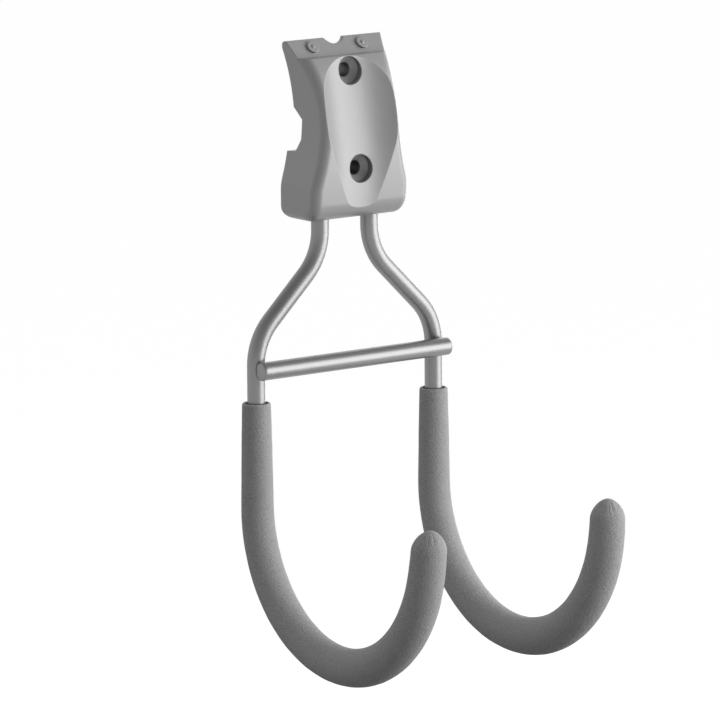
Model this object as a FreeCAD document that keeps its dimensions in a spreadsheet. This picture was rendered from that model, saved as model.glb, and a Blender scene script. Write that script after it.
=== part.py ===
import FreeCAD, Part
import os
import Sketcher
from FreeCAD import Vector

# A double tool hook for a wall: a moulded plastic bracket carries two bent steel rods, tied by a
# welded cross bar and padded with foam sleeves. The origin is on the wall, midway between the two
# screw holes. X runs to the viewer's right, Y into the wall and Z up, all in millimetres.

DIMENSIONS = [
    # Steel rods and cross bar
    ("rod_dia", 8.0, "both rods and the cross bar"),
    ("rod_wall_gap", 12.5, "wall to the rod's axis"),
    ("rod_spacing", 27.0, "between the rods where they leave the bracket"),
    ("leg_spacing", 98.0, "between the rods below the cross bar"),
    ("rod_neck", 4.9, "straight rod between the bracket and the first bend"),
    ("spread_angle", 46.0, "degrees from upright where the rods spread"),
    ("spread_radius", 26.8, "both bends of the spread, at the rod's axis"),
    ("leg_length", 62.0, "straight leg from the spread to the hook"),
    ("hook_radius", 61.0, "half circle of the hook, at the rod's axis"),
    ("rod_tip", 2.0, "straight rod after the half circle"),
    ("rod_chamfer", 0.6, "both ends of the rod"),
    ("bar_drop", 1.2, "end of the spread down to the cross bar's axis"),
    ("bar_overhang", 2.6, "cross bar past the axis of each leg"),
    ("bar_set_in", 1.1, "how deep the bar is sunk into the legs"),
    ("bar_clearance", 0.1, "between the bar's saddles and the legs"),
    ("bar_end_round", 0.5, "edges of the cross bar's ends"),
    # Foam sleeves
    ("left_sleeve_drop", 18.5, "end of the spread down to the left sleeve's open end"),
    ("right_sleeve_drop", 22.0, "end of the spread down to the right sleeve's open end"),
    ("sleeve_mouth_dia", 12.2, "sleeve at its open end"),
    ("sleeve_leg_dia", 13.9, "sleeve where the hook's curve begins"),
    ("sleeve_low_dia", 16.9, "sleeve at its thickest"),
    ("sleeve_low_turn", 105.0, "degrees round the curve to the thickest place"),
    ("sleeve_tip_dia", 16.1, "sleeve where the curve ends"),
    ("sleeve_end_dia", 15.6, "sleeve at its closed end, before the round"),
    ("sleeve_tip", 9.0, "curve's end to the closed end"),
    ("sleeve_end_round", 6.6, "edge of the closed end"),
    ("sleeve_mouth_round", 0.8, "edge of the open end"),
    # Bracket from the side: its front
    ("bracket_rise", 35.0, "origin up to the bracket's top"),
    ("bracket_drop", 43.4, "origin down to its underside"),
    ("belly_depth", 27.4, "wall to the front at its fullest"),
    ("belly_drop", 7.0, "origin down to the fullest place"),
    ("front_top_radius", 57.0, "front curve above the fullest place"),
    ("front_low_radius", 250.0, "front curve below the fullest place"),
    ("base_round", 9.0, "lower edge of the front"),
    ("heel_round", 6.0, "lower edge at the wall"),
    ("shoulder_rise", 27.7, "origin up to the shoulder below the lip"),
    ("lip_foot_depth", 11.0, "wall to the lip's slanted face at the shoulder"),
    ("lip_top_depth", 5.1, "wall to the lip's slanted face at the top"),
    # Bracket from the side: its back, with a groove that takes the edge of a rail
    ("ledge_drop", 14.0, "origin down to the groove's ledge at the wall"),
    ("ledge_depth", 6.3, "width of the ledge"),
    ("ledge_tilt", 0.5, "rise of the ledge over its width"),
    ("groove_depth", 9.5, "wall to the groove's floor"),
    ("groove_low", 8.2, "origin down to the lower end of the floor"),
    ("groove_high", 0.6, "origin up to the upper end of the floor"),
    ("relief_depth", 3.2, "back's distance from the wall above the groove"),
    ("relief_rise", 5.6, "origin up to the groove's upper edge"),
    ("top_gap", 0.5, "back's distance from the wall at the top"),
    ("top_round", 3.8, "top edge at the wall"),
    ("lip_land", 0.6, "least flat left on the top beside that round"),
    # Bracket from the front
    ("top_width", 51.4, "at the top, against the wall"),
    ("waist_width", 40.6, "at the waist"),
    ("waist_rise", 3.2, "origin up to the waist"),
    ("base_width", 51.0, "at the base"),
    ("hip_drop", 28.0, "origin down to where the sides turn upright"),
    ("hip_round", 20.0, "turn of the sides there"),
    ("side_draft", 1.5, "degrees that each side leans out from the wall to the front"),
    ("side_round", 4.2, "between the sides and the front"),
    ("lip_wall", 1.4, "wall of the lip where it is hollow behind the notch"),
    ("lip_hollow_width", 28.0, "hollow in the lip's back behind the notch"),
    ("lip_floor", 1.7, "shoulder up to the floor of that hollow"),
    ("notch_radius", 6.5, "notch in the top"),
    ("notch_depth", 2.8, "notch below the top"),
    ("bump_spacing", 26.9, "between the two round bumps on the lip"),
    ("bump_dia", 5.8, "round bumps"),
    ("bump_height", 1.0, "bumps above the lip's slanted face"),
    ("bump_slide", 4.5, "lip's top edge down its face to the bumps"),
    ("bump_dot_dia", 1.6, "dot in the middle of each bump"),
    ("bump_dot_height", 0.3, "dot above the bump"),
    # Scoop down the front
    ("scoop_radius", 38.0, "round across the scoop"),
    ("scoop_depth", 20.95, "wall to the scoop's floor, level with the origin"),
    ("scoop_tilt", 10.9, "degrees between the scoop's floor and the wall"),
    ("scoop_bend_drop", 8.0, "origin down to where the floor starts to turn upright"),
    ("scoop_bend_radius", 136.0, "turn of the floor"),
    # Screw holes and the inside
    ("screw_spacing", 42.5, "between the two screw holes"),
    ("screw_hole_dia", 6.4, "clearance holes"),
    ("head_dia", 12.4, "recesses for the screw heads"),
    ("head_cone", 2.2, "depth of the recess's cone"),
    ("upper_seat", 12.4, "wall to the narrow end of the upper cone"),
    ("lower_seat", 19.6, "wall to the narrow end of the lower cone"),
    ("screw_pad_dia", 14.0, "pad round the upper hole that reaches the wall"),
    ("socket_depth", 25.0, "blind sockets that hold the rods"),
    ("core_wall", 3.0, "wall left round the hollows in the back"),
    ("core_web", 15.0, "web between the two hollows"),
    ("core_depth", 6.0, "hollows in the back of the base"),
    ("core_base", 36.0, "origin down to the lower end of the hollows"),
]

doc = FreeCAD.newDocument("tool_hook")
dims = doc.addObject("Spreadsheet::Sheet", "dims")
for row, (alias, size, note) in enumerate(DIMENSIONS, start=1):
    dims.set(f"A{row}", alias)
    dims.set(f"B{row}", str(size))
    dims.set(f"C{row}", note)
    dims.setAlias(f"B{row}", alias)
doc.recompute()

PAST = "1"  # how far a cutting outline runs past the solid that it cuts


def number(formula):
    """What a formula on the sheet's dimensions gives now."""
    return float(dims.evalExpression(formula))


def new_body(label):
    body = doc.addObject("PartDesign::Body", label)
    body.Label = label
    return body


def new_sketch(body, name, plane, place=None):
    """A sketch on one of the body's own planes, or moved and turned from there by a formula."""
    sketch = body.newObject("Sketcher::SketchObject", name)
    support = next(f for f in body.Origin.OriginFeatures if f.Role == plane)
    sketch.AttachmentSupport = [(support, "")]
    sketch.MapMode = "FlatFace"
    if place:
        sketch.setExpression("AttachmentOffset", place)
    return sketch


def shifted(x, y, z, turn="0"):
    """A place in a plane's own directions, turned about the plane's first direction."""
    return f"placement(vector({x}; {y}; {z}); rotation(vector(1; 0; 0); {turn}))"


def pin(sketch, piece, spot, x, y):
    """Hold a point of a sketch at x and y from its origin."""
    for kind, axis, formula in (("DistanceX", -2, x), ("DistanceY", -1, y)):
        size = number(formula)
        if abs(size) < 1e-9:
            sketch.addConstraint(Sketcher.Constraint("PointOnObject", piece, spot, axis))
            continue
        ends = (-1, 1, piece, spot) if size > 0 else (piece, spot, -1, 1)
        index = sketch.addConstraint(Sketcher.Constraint(kind, *ends, abs(size)))
        sketch.setExpression(f"Constraints[{index}]", f"abs({formula})")


def draw_circle(sketch, x, y, dia):
    centre = Vector(number(x), number(y), 0)
    piece = sketch.addGeometry(Part.Circle(centre, Vector(0, 0, 1), number(dia) / 2))
    pin(sketch, piece, 3, x, y)
    index = sketch.addConstraint(Sketcher.Constraint("Diameter", piece, number(dia)))
    sketch.setExpression(f"Constraints[{index}]", dia)


def draw_outline(sketch, points, closed=True):
    """Lines from point to point, given as (x, y). After a point (x, y, side, radius) comes an arc,
    which bulges to the right of the way along it where side is 1 and to the left where it is -1."""
    spots = [Vector(number(p[0]), number(p[1]), 0) for p in points]
    count = len(points) if closed else len(points) - 1
    pieces = []
    for i in range(count):
        start, end = spots[i], spots[(i + 1) % len(spots)]
        if len(points[i]) == 2:
            pieces.append((sketch.addGeometry(Part.LineSegment(start, end)), 1, 2))
            continue
        side, radius = points[i][2], number(points[i][3])
        right = Vector(end.y - start.y, start.x - end.x, 0).normalize()
        inward = (radius**2 - (end - start).Length ** 2 / 4) ** 0.5
        circle = Part.Circle((start + end) / 2 - right * (side * inward), Vector(0, 0, 1), radius)
        first, last = (start, end) if side > 0 else (end, start)
        arc = Part.ArcOfCircle(circle, circle.parameter(first), circle.parameter(last))
        pieces.append((sketch.addGeometry(arc), 1, 2) if side > 0 else (sketch.addGeometry(arc), 2, 1))
    for i, (piece, start, end) in enumerate(pieces):
        if closed or i + 1 < count:
            follower = pieces[(i + 1) % count]
            sketch.addConstraint(Sketcher.Constraint("Coincident", piece, end, *follower[:2]))
        pin(sketch, piece, start, points[i][0], points[i][1])
        if len(points[i]) == 4:
            index = sketch.addConstraint(Sketcher.Constraint("Radius", piece, number(points[i][3])))
            sketch.setExpression(f"Constraints[{index}]", points[i][3])
    if not closed:
        pin(sketch, pieces[-1][0], pieces[-1][2], points[-1][0], points[-1][1])


def pad(body, name, sketch, length, symmetric=False):
    feature = body.newObject("PartDesign::Pad", name)
    feature.Profile = sketch
    feature.SideType = "Symmetric" if symmetric else "One side"
    feature.setExpression("Length", length)
    return feature


def pocket(body, name, sketch, length=None, backwards=False):
    """Cut a sketch into the body to a length, or right through to both sides."""
    feature = body.newObject("PartDesign::Pocket", name)
    feature.Profile = sketch
    feature.Reversed = backwards
    if length:
        feature.setExpression("Length", length)
    else:
        feature.Type = "ThroughAll"
        feature.SideType = "Symmetric"
    return feature


def dress(body, name, kind, chosen, size_name, size):
    """Fillet or chamfer the edges of the body for which chosen, given the edge's ends, is true."""
    doc.recompute()
    base = body.Tip
    names = [
        f"Edge{i}"
        for i, edge in enumerate(base.Shape.Edges, start=1)
        if chosen(edge.valueAt(edge.FirstParameter), edge.valueAt(edge.LastParameter))
    ]
    feature = body.newObject("PartDesign::" + kind, name)
    feature.Base = (base, names)
    feature.setExpression(size_name, size)
    doc.recompute()
    return feature


def sweep(body, name, profile, spine, sections=(), cut=False):
    kind = "SubtractivePipe" if cut else "AdditivePipe"
    feature = body.newObject("PartDesign::" + kind, name)
    feature.Profile = profile
    feature.Spine = spine
    if sections:
        feature.Transformation = "Multisection"
        feature.Sections = list(sections)
    return feature


def same(a, b):
    return abs(a - b) < 1e-4


# The rods, from the sockets down through the spread and the legs to the hooks

ROD_TOP = "(dims.socket_depth - dims.bracket_drop)"
SPREAD_TOP = "(-dims.bracket_drop - dims.rod_neck)"
BEND_WIDTH = "(dims.spread_radius * (1 - cos(dims.spread_angle)))"
BEND_HEIGHT = "(dims.spread_radius * sin(dims.spread_angle))"
SLANT_WIDTH = f"((dims.leg_spacing - dims.rod_spacing) / 2 - 2 * {BEND_WIDTH})"
SLANT_HEIGHT = f"({SLANT_WIDTH} / tan(dims.spread_angle))"
SPREAD_END = f"({SPREAD_TOP} - 2 * {BEND_HEIGHT} - {SLANT_HEIGHT})"
HOOK_TOP = f"({SPREAD_END} - dims.leg_length)"
HOOK_MIDDLE = "(-dims.rod_wall_gap - dims.hook_radius)"


def hook_place(side, turn):
    """The place across the hook's curve, some degrees round from its start."""
    y = f"{HOOK_MIDDLE} + dims.hook_radius * cos({turn})"
    z = f"{HOOK_TOP} - dims.hook_radius * sin({turn})"
    return shifted(f"{side} * dims.leg_spacing / 2", y, z, f"-({turn})")


def draw_hook(sketch, top, tip):
    """The leg, the half circle and the tip, in a plane that looks along the wall."""
    draw_outline(
        sketch,
        [
            ("-dims.rod_wall_gap", top),
            ("-dims.rod_wall_gap", HOOK_TOP, -1, "dims.hook_radius"),
            (HOOK_MIDDLE, f"{HOOK_TOP} - dims.hook_radius", -1, "dims.hook_radius"),
            (f"{HOOK_MIDDLE} - dims.hook_radius", HOOK_TOP),
            (f"{HOOK_MIDDLE} - dims.hook_radius", f"{HOOK_TOP} + {tip}"),
        ],
        closed=False,
    )


def make_rod(label, side):
    body = new_body(label)
    top_x = f"{side} * dims.rod_spacing / 2"
    leg_x = f"{side} * dims.leg_spacing / 2"
    end = new_sketch(body, label + "_top", "XY_Plane", shifted(0, 0, ROD_TOP))
    draw_circle(end, top_x, "-dims.rod_wall_gap", "dims.rod_dia")
    spread = new_sketch(body, label + "_spread", "XZ_Plane", shifted(0, 0, "dims.rod_wall_gap"))
    draw_outline(
        spread,
        [
            (top_x, ROD_TOP),
            (top_x, SPREAD_TOP, side, "dims.spread_radius"),
            (f"{top_x} + {side} * {BEND_WIDTH}", f"{SPREAD_TOP} - {BEND_HEIGHT}"),
            (f"{leg_x} - {side} * {BEND_WIDTH}", f"{SPREAD_END} + {BEND_HEIGHT}", -side, "dims.spread_radius"),
            (leg_x, SPREAD_END),
        ],
        closed=False,
    )
    sweep(body, label + "_upper_sweep", end, spread)
    start = new_sketch(body, label + "_leg", "XY_Plane", shifted(0, 0, SPREAD_END))
    draw_circle(start, leg_x, "-dims.rod_wall_gap", "dims.rod_dia")
    hook = new_sketch(body, label + "_hook", "YZ_Plane", shifted(0, 0, leg_x))
    draw_hook(hook, SPREAD_END, "dims.rod_tip")
    sweep(body, label + "_lower_sweep", start, hook)
    doc.recompute()
    top_z = number(ROD_TOP)
    tip_z = number(f"{HOOK_TOP} + dims.rod_tip")
    tip_y = number(f"{HOOK_MIDDLE} - dims.hook_radius / 2")

    def at_an_end(start, end):
        return same(start.z, end.z) and (same(start.z, top_z) or same(start.z, tip_z) and start.y < tip_y)

    dress(body, label + "_ends", "Chamfer", at_an_end, "Size", "dims.rod_chamfer")
    return body


left_rod = make_rod("left_rod", -1)
right_rod = make_rod("right_rod", 1)


# The cross bar, welded to the front of both legs, with a shallow saddle where each leg crosses it

cross_bar = new_body("cross_bar")
bar_end = new_sketch(cross_bar, "bar_end", "YZ_Plane")
draw_circle(
    bar_end,
    "-dims.rod_wall_gap - dims.rod_dia + dims.bar_set_in",
    f"{SPREAD_END} - dims.bar_drop",
    "dims.rod_dia",
)
pad(cross_bar, "bar_length", bar_end, "dims.leg_spacing + 2 * dims.bar_overhang", symmetric=True)
dress(cross_bar, "bar_edges", "Fillet", lambda start, end: same(start.x, end.x), "Radius", "dims.bar_end_round")
saddles = new_sketch(cross_bar, "saddle_rounds", "XY_Plane", shifted(0, 0, SPREAD_END))
for side in (-1, 1):
    draw_circle(
        saddles,
        f"{side} * dims.leg_spacing / 2",
        "-dims.rod_wall_gap",
        "dims.rod_dia + 2 * dims.bar_clearance",
    )
pocket(cross_bar, "saddles", saddles)


def cut_away(label, base, tool):
    result = doc.addObject("Part::Cut", label)
    result.Label = label
    result.Base = base
    result.Tool = tool
    return result


# The foam sleeves, slid over the hooks, thickest in the bend and closed beyond the rod's tip

def make_sleeve(label, side, drop, rod):
    body = new_body(label + "_foam")
    mouth_z = f"({SPREAD_END} - {drop})"
    leg_x = f"{side} * dims.leg_spacing / 2"
    end_z = f"{HOOK_TOP} + dims.sleeve_tip"
    spine = new_sketch(body, label + "_line", "YZ_Plane", shifted(0, 0, leg_x))
    draw_hook(spine, mouth_z, "dims.sleeve_tip")
    rings = (
        ("mouth", shifted(leg_x, "-dims.rod_wall_gap", mouth_z), "dims.sleeve_mouth_dia"),
        ("leg", hook_place(side, "0"), "dims.sleeve_leg_dia"),
        ("low", hook_place(side, "dims.sleeve_low_turn"), "dims.sleeve_low_dia"),
        ("tip", hook_place(side, "180"), "dims.sleeve_tip_dia"),
        ("end", shifted(leg_x, f"{HOOK_MIDDLE} - dims.hook_radius", end_z), "dims.sleeve_end_dia"),
    )
    sections = []
    for name, place, dia in rings:
        ring = new_sketch(body, f"{label}_{name}", "XY_Plane", place)
        draw_circle(ring, "0", "0", dia)
        sections.append(ring)
    sweep(body, label + "_sweep", sections[0], spine, sections[1:])
    for name, z, radius in (("mouth", mouth_z, "sleeve_mouth_round"), ("end", end_z, "sleeve_end_round")):
        level = number(z)
        dress(
            body,
            f"{label}_{name}_round",
            "Fillet",
            lambda start, end: same(start.z, level) and same(end.z, level),
            "Radius",
            "dims." + radius,
        )
    return cut_away(label, body, rod)


left_sleeve = make_sleeve("left_sleeve", -1, "dims.left_sleeve_drop", left_rod)
right_sleeve = make_sleeve("right_sleeve", 1, "dims.right_sleeve_drop", right_rod)


# The bracket: one moulding, drawn from the side, narrowed at the waist and scooped out in front

def arc_depth(radius, away):
    """Depth of the front where a curve of some radius has left its fullest place by a distance."""
    return f"(dims.belly_depth - {radius} + sqrt({radius}^2 - ({away})^2))"


SHOULDER_DEPTH = arc_depth("dims.front_top_radius", "dims.shoulder_rise + dims.belly_drop")
BASE_REACH = "(dims.front_low_radius - dims.base_round)"
BASE_SINE = f"((dims.bracket_drop - dims.belly_drop - dims.base_round) / {BASE_REACH})"
BASE_COSINE = f"sqrt(1 - {BASE_SINE}^2)"
BASE_START_DEPTH = f"(dims.belly_depth - dims.front_low_radius * (1 - {BASE_COSINE}))"
BASE_START = f"(-dims.belly_drop - dims.front_low_radius * {BASE_SINE})"
BASE_END_DEPTH = f"(dims.belly_depth - dims.front_low_radius + {BASE_REACH} * {BASE_COSINE})"
BACK_SLOPE = "((dims.relief_depth - dims.top_gap) / (dims.bracket_rise - dims.relief_rise))"
SHOULDER_GAP = f"(dims.top_gap + {BACK_SLOPE} * (dims.bracket_rise - dims.shoulder_rise))"

bracket = new_body("bracket")
profile = new_sketch(bracket, "side_view", "YZ_Plane")
draw_outline(
    profile,
    [
        ("0", "-dims.bracket_drop"),
        ("0", "-dims.ledge_drop"),
        ("-dims.ledge_depth", "-dims.ledge_drop + dims.ledge_tilt"),
        ("-dims.groove_depth", "-dims.groove_low"),
        ("-dims.groove_depth", "dims.groove_high"),
        ("-dims.relief_depth", "dims.relief_rise"),
        (f"-{SHOULDER_GAP}", "dims.shoulder_rise"),
        (f"-{SHOULDER_DEPTH}", "dims.shoulder_rise", 1, "dims.front_top_radius"),
        ("-dims.belly_depth", "-dims.belly_drop", 1, "dims.front_low_radius"),
        (f"-{BASE_START_DEPTH}", BASE_START, 1, "dims.base_round"),
        (f"-{BASE_END_DEPTH}", "-dims.bracket_drop"),
    ],
)
DRAFT_WIDTH = "(dims.belly_depth * tan(dims.side_draft))"
FULL_WIDTH = f"(max(dims.top_width; dims.base_width) + 2 * {DRAFT_WIDTH})"
pad(bracket, "moulding", profile, FULL_WIDTH, symmetric=True)


def waist_radius(width, height):
    """Radius of a curve that leaves the upright waist and widens by a width over a height."""
    return f"(((({width}) / 2)^2 + ({height})^2) / ({width}))"


SIDE_TOP_RADIUS = waist_radius("dims.top_width - dims.waist_width", "dims.bracket_rise - dims.waist_rise")
SIDE_LOW_RADIUS = waist_radius("dims.base_width - dims.waist_width", "dims.waist_rise + dims.hip_drop")
HIP_REACH = f"({SIDE_LOW_RADIUS} + dims.hip_round)"
HIP_ACROSS = f"({HIP_REACH} - (dims.base_width - dims.waist_width) / 2)"
HIP_DOWN = f"sqrt({HIP_REACH}^2 - {HIP_ACROSS}^2)"
HIP_START_X = f"(dims.waist_width / 2 + {SIDE_LOW_RADIUS} * (1 - {HIP_ACROSS} / {HIP_REACH}))"
HIP_START_Z = f"(dims.waist_rise - {SIDE_LOW_RADIUS} * {HIP_DOWN} / {HIP_REACH})"
OUTSIDE = f"{FULL_WIDTH} / 2 + {PAST}"
ABOVE = f"dims.bracket_rise + {PAST}"
BELOW = f"-dims.bracket_drop - {PAST}"
side_cut = new_sketch(bracket, "front_view", "XZ_Plane")
draw_outline(
    side_cut,
    [
        ("dims.top_width / 2", ABOVE),
        ("dims.top_width / 2", "dims.bracket_rise", 1, SIDE_TOP_RADIUS),
        ("dims.waist_width / 2", "dims.waist_rise", 1, SIDE_LOW_RADIUS),
        (HIP_START_X, HIP_START_Z, -1, "dims.hip_round"),
        ("dims.base_width / 2", f"dims.waist_rise - {HIP_DOWN}"),
        ("dims.base_width / 2", BELOW),
        (OUTSIDE, BELOW),
        (OUTSIDE, ABOVE),
    ],
)


def cut_side(name, outline):
    """Cut the right side to an outline, leaning out towards the front."""
    feature = pocket(bracket, name, outline, f"dims.belly_depth + {PAST}")
    feature.UseCustomVector = True
    feature.setExpression("Direction", "vector(tan(dims.side_draft); -1; 0)")
    return feature


def mirror(body, name, feature):
    result = body.newObject("PartDesign::Mirrored", name)
    result.Originals = [feature]
    result.MirrorPlane = (next(f for f in body.Origin.OriginFeatures if f.Role == "YZ_Plane"), [""])
    body.Tip = result
    return result


mirror(bracket, "both_waists", cut_side("right_waist", side_cut))

narrowest = number("dims.waist_width / 2")
shoulder_depth = number(SHOULDER_DEPTH)


def beside_front(start, end):
    """The edges between the sides and the front, from the shoulder down."""
    ends = (start, end)
    outside = all(abs(p.x) > narrowest - 0.01 and -p.y > shoulder_depth - 0.01 for p in ends)
    return outside and not same(start.z, end.z)


dress(bracket, "sides", "Fillet", beside_front, "Radius", "dims.side_round")

lip_profile = new_sketch(bracket, "lip_view", "YZ_Plane")
draw_outline(
    lip_profile,
    [
        (f"-{SHOULDER_GAP}", "dims.shoulder_rise"),
        ("-dims.top_gap", "dims.bracket_rise"),
        ("-dims.lip_top_depth", "dims.bracket_rise"),
        ("-dims.lip_foot_depth", "dims.shoulder_rise"),
    ],
)
pad(bracket, "lip", lip_profile, FULL_WIDTH, symmetric=True)
LIP_UP = "(dims.shoulder_rise - dims.waist_rise)"
LIP_FOOT_X = f"dims.waist_width / 2 + {SIDE_TOP_RADIUS} - sqrt({SIDE_TOP_RADIUS}^2 - {LIP_UP}^2)"
lip_cut = new_sketch(bracket, "lip_front_view", "XZ_Plane")
draw_outline(
    lip_cut,
    [
        ("dims.top_width / 2", ABOVE),
        ("dims.top_width / 2", "dims.bracket_rise", 1, SIDE_TOP_RADIUS),
        (LIP_FOOT_X, "dims.shoulder_rise"),
        (OUTSIDE, "dims.shoulder_rise"),
        (OUTSIDE, ABOVE),
    ],
)
mirror(bracket, "both_lip_sides", cut_side("right_lip_side", lip_cut))


rise = number("dims.bracket_rise")
top_gap = number("dims.top_gap")


def along_top(start, end):
    """The upper edge at the wall."""
    return all(same(p.y, -top_gap) and same(p.z, rise) for p in (start, end))


TOP_ROUND = "min(dims.top_round; dims.lip_top_depth - dims.top_gap - dims.lip_land)"
dress(bracket, "top", "Fillet", along_top, "Radius", TOP_ROUND)

HEEL_TOP = "dims.heel_round - dims.bracket_drop"
heel_view = new_sketch(bracket, "heel_view", "YZ_Plane")
draw_outline(
    heel_view,
    [
        ("0", HEEL_TOP, -1, "dims.heel_round"),
        ("-dims.heel_round", "-dims.bracket_drop"),
        ("-dims.heel_round", BELOW),
        (PAST, BELOW),
        (PAST, HEEL_TOP),
    ],
)
pocket(bracket, "heel", heel_view)

LIP_SLOPE = "((dims.lip_foot_depth - dims.lip_top_depth) / (dims.bracket_rise - dims.shoulder_rise))"
LIP_INNER = f"(dims.lip_top_depth - dims.lip_wall * sqrt(1 + {LIP_SLOPE}^2))"
lip_hollow = new_sketch(bracket, "lip_hollow_view", "YZ_Plane")
draw_outline(
    lip_hollow,
    [
        (PAST, "dims.shoulder_rise + dims.lip_floor"),
        (PAST, f"dims.bracket_rise + {PAST}"),
        (f"-({LIP_INNER} - {PAST} * {LIP_SLOPE})", f"dims.bracket_rise + {PAST}"),
        (
            f"-({LIP_INNER} + (dims.bracket_rise - dims.shoulder_rise - dims.lip_floor) * {LIP_SLOPE})",
            "dims.shoulder_rise + dims.lip_floor",
        ),
    ],
)
pocket(bracket, "lip_hollow", lip_hollow, "dims.lip_hollow_width").SideType = "Symmetric"

SCOOP_BEND = "(dims.scoop_depth + dims.scoop_bend_drop * tan(dims.scoop_tilt))"
SCOOP_OUT = "(dims.scoop_radius * cos(dims.scoop_tilt))"
SCOOP_UP = "(dims.scoop_radius * sin(dims.scoop_tilt))"
SCOOP_LINE_RADIUS = "(dims.scoop_bend_radius + dims.scoop_radius)"
scoop_start_y = f"-(dims.scoop_depth - dims.bracket_rise * tan(dims.scoop_tilt) + {SCOOP_OUT})"
scoop_start_z = f"dims.bracket_rise + {SCOOP_UP}"
scoop_turned_y = f"-({SCOOP_BEND} + {SCOOP_OUT} + {SCOOP_LINE_RADIUS} * (1 - cos(dims.scoop_tilt)))"
scoop_turned_z = f"-dims.scoop_bend_drop + {SCOOP_UP} - {SCOOP_LINE_RADIUS} * sin(dims.scoop_tilt)"
scoop_line = new_sketch(bracket, "scoop_line", "YZ_Plane")
draw_outline(
    scoop_line,
    [
        (scoop_start_y, scoop_start_z),
        (f"-({SCOOP_BEND} + {SCOOP_OUT})", f"-dims.scoop_bend_drop + {SCOOP_UP}", 1, SCOOP_LINE_RADIUS),
        (scoop_turned_y, scoop_turned_z),
        (scoop_turned_y, f"-dims.bracket_drop - {PAST}"),
    ],
    closed=False,
)
scoop_round = new_sketch(
    bracket, "scoop_round", "XY_Plane", shifted(0, scoop_start_y, scoop_start_z, "-dims.scoop_tilt")
)
draw_circle(scoop_round, "0", "0", "2 * dims.scoop_radius")
sweep(bracket, "scoop", scoop_round, scoop_line, cut=True)

screw_pad = new_sketch(bracket, "screw_pad_round", "XZ_Plane")
draw_circle(screw_pad, "0", "dims.screw_spacing / 2", "dims.screw_pad_dia")
pad(bracket, "screw_pad", screw_pad, "dims.relief_depth")

for name, level, seat in (
    ("upper_screw", "dims.screw_spacing / 2", "dims.upper_seat"),
    ("lower_screw", "-dims.screw_spacing / 2", "dims.lower_seat"),
):
    half = new_sketch(bracket, name + "_half", "YZ_Plane", shifted(0, level, 0))
    draw_outline(
        half,
        [
            (PAST, "0"),
            (PAST, "dims.screw_hole_dia / 2"),
            (f"-{seat}", "dims.screw_hole_dia / 2"),
            (f"-{seat} - dims.head_cone", "dims.head_dia / 2"),
            (f"-dims.belly_depth - {PAST}", "dims.head_dia / 2"),
            (f"-dims.belly_depth - {PAST}", "0"),
        ],
    )
    hole = bracket.newObject("PartDesign::Groove", name)
    hole.Profile = half
    hole.ReferenceAxis = (half, ["H_Axis"])
    hole.Angle = 360

notch = new_sketch(bracket, "notch_round", "XZ_Plane")
draw_circle(notch, "0", "dims.bracket_rise + dims.notch_radius - dims.notch_depth", "2 * dims.notch_radius")
pocket(bracket, "notch", notch)

LIP_TURN = f"-atan({LIP_SLOPE})"
for name, dia, length in (
    ("bumps", "dims.bump_dia", "dims.bump_height"),
    ("bump_dots", "dims.bump_dot_dia", "dims.bump_height + dims.bump_dot_height"),
):
    rounds = new_sketch(
        bracket, name + "_round", "XZ_Plane", shifted(0, "dims.bracket_rise", "dims.lip_top_depth", LIP_TURN)
    )
    for side in (-1, 1):
        draw_circle(rounds, f"{side} * dims.bump_spacing / 2", "-dims.bump_slide", dia)
    pad(bracket, name, rounds, length)

sockets = new_sketch(bracket, "socket_rounds", "XY_Plane", shifted(0, 0, "-dims.bracket_drop"))
for side in (-1, 1):
    draw_circle(sockets, f"{side} * dims.rod_spacing / 2", "-dims.rod_wall_gap", "dims.rod_dia")
pocket(bracket, "sockets", sockets, "dims.socket_depth", backwards=True)

CORE_TOP = "-dims.ledge_drop - dims.core_wall"
hollow = new_sketch(bracket, "hollow_outline", "XZ_Plane")
draw_outline(
    hollow,
    [
        ("dims.core_web / 2", "-dims.core_base"),
        ("dims.base_width / 2 - dims.core_wall", "-dims.core_base"),
        ("(dims.waist_width - dims.core_wall) / 2", CORE_TOP),
        ("dims.core_web / 2", CORE_TOP),
    ],
)
mirror(bracket, "both_hollows", pocket(bracket, "right_hollow", hollow, "dims.core_depth", backwards=True))


# Every object must have come out whole before its solid is written

parts = (bracket, left_rod, right_rod, cross_bar, left_sleeve, right_sleeve)
doc.recompute()
failed = [obj.Name for obj in doc.Objects if "Invalid" in obj.State or "Error" in obj.State]
if failed:
    raise RuntimeError("These did not come out: " + ", ".join(failed))
for part in parts:
    if part.Shape.isNull() or not part.Shape.isValid() or len(part.Shape.Solids) != 1:
        raise RuntimeError(part.Label + " is not one whole solid")

os.makedirs("parts", exist_ok=True)
for part in parts:
    part.Shape.exportStep(f"parts/{part.Label}.step")
    print(f"{part.Label}: {part.Shape.Volume / 1000:.2f} cubic centimetres")
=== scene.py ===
import math

import bmesh
import bpy
from mathutils import Matrix, Vector, noise


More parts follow.
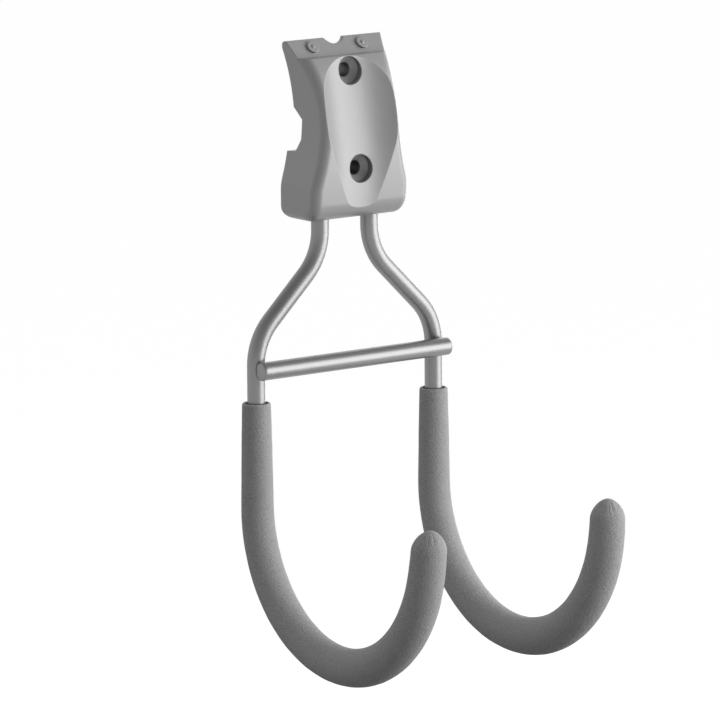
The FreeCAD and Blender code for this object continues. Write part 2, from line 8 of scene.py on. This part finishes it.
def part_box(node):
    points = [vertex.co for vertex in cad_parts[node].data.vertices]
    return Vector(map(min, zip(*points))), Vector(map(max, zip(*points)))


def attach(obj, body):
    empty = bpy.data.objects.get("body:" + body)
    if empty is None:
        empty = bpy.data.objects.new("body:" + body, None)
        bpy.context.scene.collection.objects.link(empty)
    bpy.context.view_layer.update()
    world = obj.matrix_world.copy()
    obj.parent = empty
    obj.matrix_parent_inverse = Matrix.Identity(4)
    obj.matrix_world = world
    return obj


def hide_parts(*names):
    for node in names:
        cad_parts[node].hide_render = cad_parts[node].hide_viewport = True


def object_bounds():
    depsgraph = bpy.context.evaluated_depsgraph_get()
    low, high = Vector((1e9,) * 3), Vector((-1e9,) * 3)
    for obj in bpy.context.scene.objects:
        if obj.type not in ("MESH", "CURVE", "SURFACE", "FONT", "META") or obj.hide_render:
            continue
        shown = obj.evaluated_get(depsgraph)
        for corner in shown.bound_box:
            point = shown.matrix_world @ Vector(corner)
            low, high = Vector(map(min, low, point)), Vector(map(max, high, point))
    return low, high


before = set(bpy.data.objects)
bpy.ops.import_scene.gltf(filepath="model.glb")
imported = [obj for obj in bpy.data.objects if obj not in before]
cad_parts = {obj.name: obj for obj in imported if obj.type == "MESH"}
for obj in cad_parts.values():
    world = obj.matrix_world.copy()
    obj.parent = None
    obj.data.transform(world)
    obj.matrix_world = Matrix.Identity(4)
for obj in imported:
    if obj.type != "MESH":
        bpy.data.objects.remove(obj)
cad_low, cad_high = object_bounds()


# The bracket is one injection moulding in silver-grey plastic, screwed to the wall through two
# recessed holes. Its mould was spark eroded, so the skin is matt with a very fine grain and a soft
# sheen.

class Signal:
    """A number that a shader node puts out. Sums and products of signals add their own nodes."""

    def __init__(self, finish, socket):
        self.finish = finish
        self.socket = socket

    def combined(self, operation, first, second):
        return self.finish.node("ShaderNodeMath", {"operation": operation}, {0: first, 1: second})

    def __add__(self, other):
        return self.combined("ADD", self, other)

    def __sub__(self, other):
        return self.combined("SUBTRACT", self, other)

    def __rsub__(self, other):
        return self.combined("SUBTRACT", other, self)

    def __mul__(self, other):
        return self.combined("MULTIPLY", self, other)

    __radd__ = __add__
    __rmul__ = __mul__


class Finish:
    """The nodes of a material or of the world, round the shader that it starts with."""

    # The rays that a relief or an openness casts, and what counts as quite sheltered and quite open.
    SAMPLES = 8
    SHELTERED = 0.25
    OPEN = 0.6

    def __init__(self, owner, shader, constants):
        self.owner = owner
        owner.use_nodes = True
        self.tree = owner.node_tree
        self.shader = self.tree.nodes[shader]
        for socket, value in constants.items():
            self.give(socket, value)

    def node(self, kind, settings, sockets, output=0):
        """Add a node, with its settings first and then the values or signals of its sockets."""
        made = self.tree.nodes.new(kind)
        for setting, value in settings.items():
            setattr(made, setting, value)
        for socket, value in sockets.items():
            self.feed(made.inputs[socket], value)
        return Signal(self, made.outputs[output])

    def feed(self, socket, value):
        if isinstance(value, Signal):
            self.tree.links.new(value.socket, socket)
        else:
            socket.default_value = value

    def give(self, socket, value):
        """Set or link one of the shader's own sockets, by its name."""
        self.feed(self.shader.inputs[socket], value)

    def noise(self, place, per_metre, detail):
        return self.node("ShaderNodeTexNoise", {}, {"Vector": place, "Scale": per_metre, "Detail": detail})

    def blend(self, factor, first, second):
        """A colour between two others. A Mix node has its colours at inputs 6 and 7 and output 2."""
        colours = {0: factor, 6: first, 7: second}
        return self.node("ShaderNodeMix", {"data_type": "RGBA"}, colours, 2)

    def relief(self, height, distance, edge_round):
        """Raise the surface by a height signal, up to a distance, and soften the edges of the form."""
        rounded = self.node("ShaderNodeBevel", {"samples": self.SAMPLES}, {"Radius": edge_round})
        raised = {"Strength": 1.0, "Distance": distance, "Height": height, "Normal": rounded}
        self.give("Normal", self.node("ShaderNodeBump", {}, raised))

    def openness(self, reach):
        """One on an open face, falling towards zero down a hole or along an inner corner. It masks the
        painted shade in holes and gaps.
        """
        samples = {"samples": self.SAMPLES}
        bare = self.node("ShaderNodeAmbientOcclusion", samples, {"Distance": reach}, "AO")
        limits = {"Value": bare, "From Min": self.SHELTERED, "From Max": self.OPEN}
        return self.node("ShaderNodeMapRange", {}, limits)


def grey(level):
    """A neutral colour from its brightness on screen, from 0 to 1, by the sRGB curve."""
    linear = ((level + 0.055) / 1.055) ** 2.4
    return (linear, linear, linear, 1.0)


def dress(node, finish):
    """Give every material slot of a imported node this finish."""
    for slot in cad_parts[node].material_slots:
        slot.material = finish.owner


PLASTIC_DARKER = grey(0.60)
PLASTIC_LIGHTER = grey(0.62)
PLASTIC_PAINTED_SHADE = grey(0.30)
PLASTIC_CLOUDS_PER_METRE = 60
PLASTIC_GRAINS_PER_METRE = 3200
PLASTIC_GRAIN_HEIGHT = 0.00003
PLASTIC_ROUGHNESS = 0.33
PLASTIC_ROUGHNESS_DRIFT = 0.06
PLASTIC_EDGE = 0.0007
RECESS_PAINTED_SHADE_REACH = 0.012

plastic = Finish(
    bpy.data.materials.new("matt_silver_plastic"),
    "Principled BSDF",
    {"Metallic": 0.0, "Specular IOR Level": 1.0},
)
on_plastic = plastic.node("ShaderNodeTexCoord", {}, {}, "Object")
cloudy = plastic.noise(on_plastic, PLASTIC_CLOUDS_PER_METRE, detail=3)
mould_grain = plastic.noise(on_plastic, PLASTIC_GRAINS_PER_METRE, detail=2)
skin = plastic.blend(cloudy, PLASTIC_DARKER, PLASTIC_LIGHTER)
# Painted shade: the base colour darkens towards a dark grey down the screw holes and in other recesses,
# where the bracket lies in shadow.
plastic.give("Base Color", plastic.blend(plastic.openness(RECESS_PAINTED_SHADE_REACH), PLASTIC_PAINTED_SHADE, skin))
plastic.give("Roughness", PLASTIC_ROUGHNESS + PLASTIC_ROUGHNESS_DRIFT * cloudy)
plastic.relief(mould_grain, PLASTIC_GRAIN_HEIGHT, PLASTIC_EDGE)
dress("bracket", plastic)


# Two bent rods and the cross bar are drawn steel wire with a satin silver coat. The rods' upper ends
# sit in sockets in the bracket. The bar is resistance welded across the front of both legs, so it
# leaves no bead.

COAT_DARKER = grey(0.53)
COAT_LIGHTER = grey(0.57)
COAT_PAINTED_SHADE = grey(0.25)
COAT_DRIFTS_PER_METRE = 90
COAT_GRAINS_PER_METRE = 2600
COAT_GRAIN_HEIGHT = 0.000012
COAT_ROUGHNESS = 0.31
COAT_ROUGHNESS_DRIFT = 0.08
COAT_ROUGHNESS_GRAIN = 0.04
WIRE_EDGE = 0.0018
CONTACT_PAINTED_SHADE_REACH = 0.001

steel = Finish(
    bpy.data.materials.new("satin_silver_steel"),
    "Principled BSDF",
    {"Metallic": 0.75, "Specular IOR Level": 0.5},
)
on_steel = steel.node("ShaderNodeTexCoord", {}, {}, "Object")
coat_drift = steel.noise(on_steel, COAT_DRIFTS_PER_METRE, detail=3)
coat_grain = steel.noise(on_steel, COAT_GRAINS_PER_METRE, detail=2)
coat = steel.blend(coat_drift, COAT_DARKER, COAT_LIGHTER)
# Painted shade: the coat's colour darkens within about a millimetre of the sockets and of the bar where it
# crosses the legs, where shadow gathers in the narrow gaps.
steel.give("Base Color", steel.blend(steel.openness(CONTACT_PAINTED_SHADE_REACH), COAT_PAINTED_SHADE, coat))
coat_roughness = COAT_ROUGHNESS + COAT_ROUGHNESS_DRIFT * coat_drift
steel.give("Roughness", coat_roughness + COAT_ROUGHNESS_GRAIN * coat_grain)
steel.relief(coat_grain, COAT_GRAIN_HEIGHT, WIRE_EDGE)
for node in ("left_rod", "right_rod", "cross_bar"):
    dress(node, steel)


# Each hook wears a sleeve of closed-cell foam: a straight tube, moulded shut at one end and pushed
# over the rod, that swells towards the bend. Its cut end is rounded, and its closed end is a blunt,
# puckered cone.

# The rod inside, which runs on a little past the hook's half circle, and the bore round it.
ROD_RADIUS = 0.004
ROD_TIP = 0.002
FOAM_BORE = 0.0042
BORE_END_RADIUS = 0.6 * FOAM_BORE

# The skin, by its radius at the mouth, where it is fullest, and at the shoulder of the closed end.
FOAM_MOUTH = 0.00625
FOAM_SPREAD = 0.72
FOAM_FULLEST = 0.00845
FOAM_FULLEST_TURN = math.radians(105)
FOAM_SHOULDER = 0.0075
FOAM_DOME = 0.0090
DOME_POWER = 1.75

# The cut, which is round at the skin, falls a little towards the rod and flares into the bore.
CUT_ROUND = 0.0009
CUT_FALL = 0.0006
FLARE_WIDTH = 0.0004
FLARE_DEPTH = 0.0024

# How finely the sleeve is divided.
SKIN_STEP = 0.0006
BORE_STEP = 0.004
CUT_STEP = math.radians(15)
DOME_STEP = math.radians(5)
RING_SIDES = 128

# The skin's swells, each by its length and height, and the creases and lean of the closed end.
# A crease runs where a noise read round the tip, on a ring of this size, crosses zero.
SWELLS = ((0.0060, 0.00006), (0.0016, 0.00002))
PUCKER_DEPTH = 0.00028
PUCKER_REACH = 0.0060
PUCKER_RING = 3.2
PUCKER_WIDTH = 0.17
LEAN_REACH = 0.024

rod_low, rod_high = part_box("left_rod")
leg_depth = rod_high.y - ROD_RADIUS
hook_radius = (rod_high.y - rod_low.y) / 2 - ROD_RADIUS
hook_length = math.pi * hook_radius
hook_top = rod_low.z + ROD_RADIUS + hook_radius


def steps(start, end, step):
    """Even steps from start towards end, which is left out."""
    count = max(1, round(abs(end - start) / step))
    return [start + (end - start) * i / count for i in range(count)]


def foam_radius(travel, leg, whole):
    """The skin's radius at a distance from the open end, before the closed end's dome."""
    fullest = leg + FOAM_FULLEST_TURN * hook_radius
    if travel < fullest:
        return FOAM_MOUTH + (FOAM_FULLEST - FOAM_MOUTH) * (travel / fullest) ** FOAM_SPREAD
    share = (travel - fullest) / (whole - fullest)
    return FOAM_FULLEST - (FOAM_FULLEST - FOAM_SHOULDER) * share**2


def foam_profile(leg, bore_end, whole):
    """Radius and travel from inside the closed end, down the bore, over the cut and along the skin."""
    points = [(0.0, bore_end), (BORE_END_RADIUS, bore_end)]
    points += [(FOAM_BORE, travel) for travel in steps(bore_end, FLARE_DEPTH, BORE_STEP)]
    points += [(FOAM_BORE, FLARE_DEPTH), (FOAM_BORE + FLARE_WIDTH, CUT_FALL)]
    rim = foam_radius(CUT_ROUND, leg, whole)
    for turn in steps(0.0, math.pi / 2, CUT_STEP):
        inset = CUT_ROUND * (1 - math.sin(turn))
        points.append((rim - inset, CUT_ROUND * (1 - math.cos(turn))))
    dome_start = whole - FOAM_DOME
    for travel in steps(CUT_ROUND, dome_start, SKIN_STEP):
        points.append((foam_radius(travel, leg, whole), travel))
    shoulder = foam_radius(dome_start, leg, whole)
    for turn in steps(0.0, math.pi / 2, DOME_STEP):
        share = math.sin(turn)
        radius = shoulder * (1 - share**DOME_POWER) ** (1 / DOME_POWER)
        points.append((radius, dome_start + FOAM_DOME * share))
    return points + [(0.0, whole)]


def unevenness(point, whole, seed):
    """How far the skin stands out or sinks in at a point of the straight tube."""
    height = sum(size * noise.noise(point / wave + seed) for wave, size in SWELLS)
    below_tip = whole - point.z
    if 0 < below_tip < PUCKER_REACH:
        across = Vector((point.x, point.y, 0)).normalized()
        fade = math.sin(math.pi * below_tip / PUCKER_REACH)
        crease = max(0.0, 1 - abs(noise.noise(across * PUCKER_RING + seed)) / PUCKER_WIDTH)
        height -= PUCKER_DEPTH * fade * crease
    return height


def onto_hook(point, leg, leg_x):
    """Bend a point of the straight tube, whose axis is Z and whose open end is at zero, onto a hook."""
    travel = point.z
    turn = min(max((travel - leg) / hook_radius, 0.0), math.pi)
    past = max(travel - leg - hook_length, 0.0)
    reach = hook_radius + point.y
    y = leg_depth - hook_radius + reach * math.cos(turn)
    z = hook_top - reach * math.sin(turn) + past + max(leg - travel, 0.0)
    return Vector((leg_x + point.x, y, z))


FOAM_DARKER = grey(0.55)
FOAM_LIGHTER = grey(0.76)
FOAM_PAINTED_SHADE = grey(0.30)
FOAM_CELLS_PER_METRE = 1500
FOAM_MOTTLES_PER_METRE = 1400
FOAM_CELL_SHARE = 0.6
FOAM_GRAIN_HEIGHT = 0.00024
FOAM_EDGE = 0.0002
MOUTH_PAINTED_SHADE_REACH = 0.003

foam = Finish(
    bpy.data.materials.new("grey_foam_skin"),
    "Principled BSDF",
    {"Metallic": 0.0, "Specular IOR Level": 0.25, "Roughness": 0.85},
)
on_foam = foam.node("ShaderNodeTexCoord", {}, {}, "Object")
cells = foam.node("ShaderNodeTexVoronoi", {}, {"Vector": on_foam, "Scale": FOAM_CELLS_PER_METRE})
mottle = foam.noise(on_foam, FOAM_MOTTLES_PER_METRE, detail=2)
foam_skin = foam.blend(mottle, FOAM_DARKER, FOAM_LIGHTER)
# Painted shade: the foam's colour darkens down the bore and round the rod at the cut end, where shadow
# gathers.
foam.give("Base Color", foam.blend(foam.openness(MOUTH_PAINTED_SHADE_REACH), FOAM_PAINTED_SHADE, foam_skin))
foam.relief(FOAM_CELL_SHARE * cells + mottle, FOAM_GRAIN_HEIGHT, FOAM_EDGE)


def make_foam_sleeve(name, node, mouth_lift, tip, lean, seed):
    """A sleeve whose open end stands above its plain solid's, with its own length and lean of tip."""
    low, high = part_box(node)
    leg_x = (low.x + high.x) / 2
    leg = high.z + mouth_lift - hook_top
    bore_end = leg + hook_length + ROD_TIP
    whole = leg + hook_length + tip
    bm = bmesh.new()
    profile = [bm.verts.new((radius, 0.0, travel)) for radius, travel in foam_profile(leg, bore_end, whole)]
    edges = [bm.edges.new(pair) for pair in zip(profile, profile[1:])]
    bmesh.ops.spin(
        bm,
        geom=profile + edges,
        cent=(0, 0, 0),
        axis=(0, 0, 1),
        angle=2 * math.pi,
        steps=RING_SIDES,
        use_merge=True,
    )
    bmesh.ops.remove_doubles(bm, verts=bm.verts, dist=1e-6)
    bmesh.ops.recalc_face_normals(bm, faces=bm.faces)
    for vert in bm.verts:
        if Vector((vert.co.x, vert.co.y)).length > FOAM_BORE + FLARE_WIDTH or vert.co.z > bore_end:
            sideways = lean * max(0.0, 1 - (whole - vert.co.z) / LEAN_REACH) ** 2
            vert.co += vert.normal * unevenness(vert.co, whole, seed)
            vert.co.y += sideways
        vert.co = onto_hook(vert.co, leg, leg_x)
    bmesh.ops.recalc_face_normals(bm, faces=bm.faces)
    for face in bm.faces:
        face.smooth = True
    mesh = bpy.data.meshes.new(name)
    bm.to_mesh(mesh)
    bm.free()
    mesh.materials.append(foam.owner)
    piece = bpy.data.objects.new(name, mesh)
    bpy.context.scene.collection.objects.link(piece)
    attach(piece, "root")
    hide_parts(node)


make_foam_sleeve(
    "left_foam",
    "left_sleeve",
    mouth_lift=0.0024,
    tip=0.0090,
    lean=0.0017,
    seed=Vector((3.1, 0.7, 5.2)),
)
make_foam_sleeve(
    "right_foam",
    "right_sleeve",
    mouth_lift=0.0014,
    tip=0.0099,
    lean=0.0006,
    seed=Vector((8.4, 2.9, 1.6)),
)


# The studio: a white floor below the hanging hook, a large soft box to the right of the front, a weaker
# one behind on the same side, and a white room round them that is darker overhead and by the camera.

FLOOR_DROP = 0.35
FLOOR_REACH = 30.0
FLOOR_GREY = grey(0.45)
FLOOR_GLOW = (0.92, 0.92, 0.92, 1.0)
NO_GLOW = (0.0, 0.0, 0.0, 1.0)
ROOM_WHITE = (1.0, 1.0, 1.0, 1.0)
ROOM_FILL = 0.71
DARK_SIDE = (-0.12, -0.45, 0.885)
DARKNESS = 0.70


def rays(finish, *kinds):
    """One where the ray is of one of these kinds, and otherwise zero."""
    return sum(finish.node("ShaderNodeLightPath", {}, {}, f"Is {kind} Ray") for kind in kinds)


bpy.context.scene.world = bpy.data.worlds.new("studio")
room = Finish(bpy.context.scene.world, "Background", {"Color": ROOM_WHITE})
way = room.node("ShaderNodeTexCoord", {}, {}, "Generated")
alongside = {"operation": "DOT_PRODUCT"}
to_dark_side = room.node("ShaderNodeVectorMath", alongside, {0: way, 1: DARK_SIDE}, "Value")
shade = 1 - DARKNESS * room.node("ShaderNodeClamp", {}, {"Value": to_dark_side})
seen = rays(room, "Camera", "Transmission")
gloss = rays(room, "Glossy")
room.give("Strength", seen + shade * (gloss + ROOM_FILL * (1 - seen - gloss)))

white_floor = Finish(
    bpy.data.materials.new("white_floor"),
    "Principled BSDF",
    {"Base Color": FLOOR_GREY, "Roughness": 1.0, "Specular IOR Level": 0.0, "Emission Strength": 1.0},
)
floor_seen = rays(white_floor, "Camera", "Glossy", "Transmission")
white_floor.give("Emission Color", white_floor.blend(floor_seen, NO_GLOW, FLOOR_GLOW))
bm = bmesh.new()
bmesh.ops.create_grid(bm, x_segments=1, y_segments=1, size=FLOOR_REACH)
bmesh.ops.translate(bm, verts=bm.verts, vec=(0, 0, cad_low.z - FLOOR_DROP))
floor_mesh = bpy.data.meshes.new("floor")
bm.to_mesh(floor_mesh)
bm.free()
floor_mesh.materials.append(white_floor.owner)
floor = bpy.data.objects.new("floor", floor_mesh)
bpy.context.scene.collection.objects.link(floor)

LAMP_DISTANCE = 1.6
middle = (cad_low + cad_high) / 2


def hang_soft_box(name, turn, rise, width, height, power):
    """An upright lamp that faces the hook, turned from the front to the right and raised, in degrees."""
    lamp = bpy.data.lights.new(name, "AREA")
    lamp.shape = "RECTANGLE"
    lamp.size = width
    lamp.size_y = height
    lamp.energy = power
    box = bpy.data.objects.new(name, lamp)
    towards = Matrix.Rotation(math.radians(turn), 3, "Z") @ Matrix.Rotation(math.radians(-rise), 3, "X")
    to_box = towards @ Vector((0, -1, 0))
    box.location = middle + to_box * LAMP_DISTANCE
    box.rotation_euler = to_box.to_track_quat("Z", "Y").to_euler()
    bpy.context.scene.collection.objects.link(box)


hang_soft_box("front_soft_box", turn=46, rise=6, width=1.7, height=1.6, power=31.5)
hang_soft_box("rear_soft_box", turn=125, rise=6, width=0.9, height=1.4, power=8.5)


# The camera stands to the left of the front and a little above the hook, about 2.4 m from it. Its long
# lens fills the frame from there and leaves only a slight perspective.

CAMERA_PLACE = (-1.4638, -1.9655, 0.3293)
CAMERA_RIGHT = (0.79782, -0.60286, -0.00738)
CAMERA_UP = (0.11215, 0.13637, 0.98430)
CAMERA_BACK = (-0.59238, -0.78612, 0.17640)
CAMERA_LENS = 280.4
CAMERA_SENSOR = 36.0

camera_data = bpy.data.cameras.new("camera")
camera_data.lens = CAMERA_LENS
camera_data.sensor_width = CAMERA_SENSOR
camera = bpy.data.objects.new("camera", camera_data)
turned = Matrix((CAMERA_RIGHT, CAMERA_UP, CAMERA_BACK)).transposed().to_4x4()
camera.matrix_world = Matrix.Translation(CAMERA_PLACE) @ turned
bpy.context.scene.collection.objects.link(camera)
bpy.context.scene.camera = camera
bpy.context.scene.view_settings.view_transform = "Standard"
